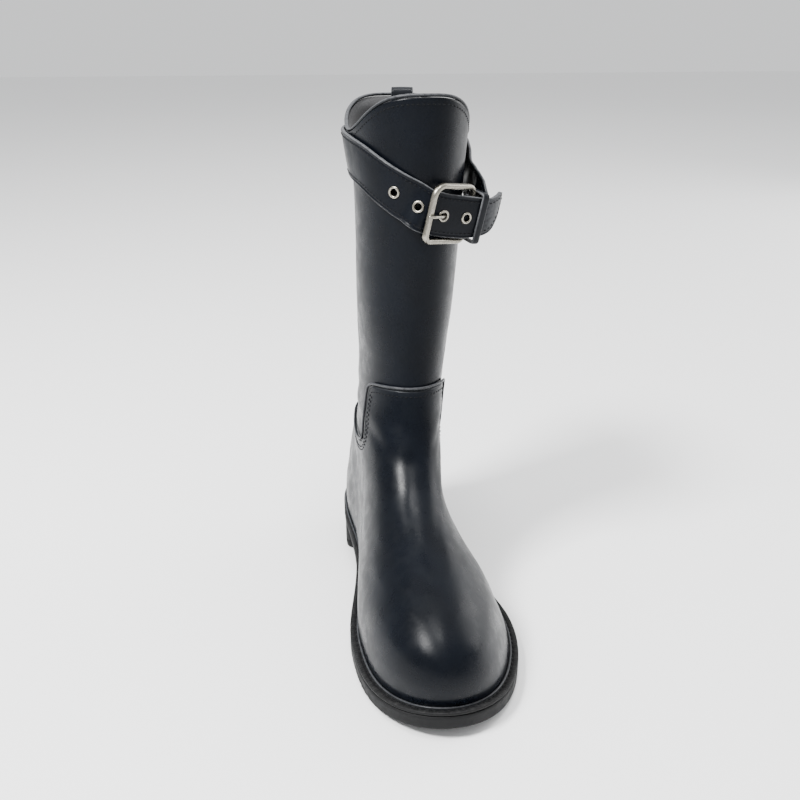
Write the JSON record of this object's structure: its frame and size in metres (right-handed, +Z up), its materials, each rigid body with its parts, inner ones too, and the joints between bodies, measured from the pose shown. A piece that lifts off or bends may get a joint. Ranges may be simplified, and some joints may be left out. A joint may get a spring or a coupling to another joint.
{
  "type": "tall buckle boot",
  "caption": "Tall round-toed pull-on boot for the left foot, with a wrap strap and a rectangular buckle at the top of its shaft, a seamed foot panel and a low block heel.",
  "frame": {"origin": "on the floor under the middle of the heel, on the heel's tread", "axes": "+Z up, toe towards -Y, +X towards the lateral side of the left foot"},
  "size_m": [0.1205, 0.2914, 0.3572],
  "materials": {
    "leather": "smooth satin, near black",
    "trim": "smooth satin, a little lighter than the shaft",
    "strap": "smooth satin, near black",
    "sock": "matte grey lining",
    "rubber": "matte black",
    "metal": "antique silver"
  },
  "bodies": {
    "root": {"upper": "leather", "seam_piping": "trim", "collar_binding": "trim", "pull_tab": "trim", "insole": "sock", "welt": "rubber", "outsole": "rubber", "heel_block": "rubber", "billet_strap": "strap", "chape_strap": "strap", "strap_keeper": "strap", "buckle_frame": "metal", "buckle_prong": "metal", "eyelet_1": "metal", "eyelet_2": "metal", "eyelet_3": "metal", "eyelet_4": "metal"}
  },
  "joints": []
}
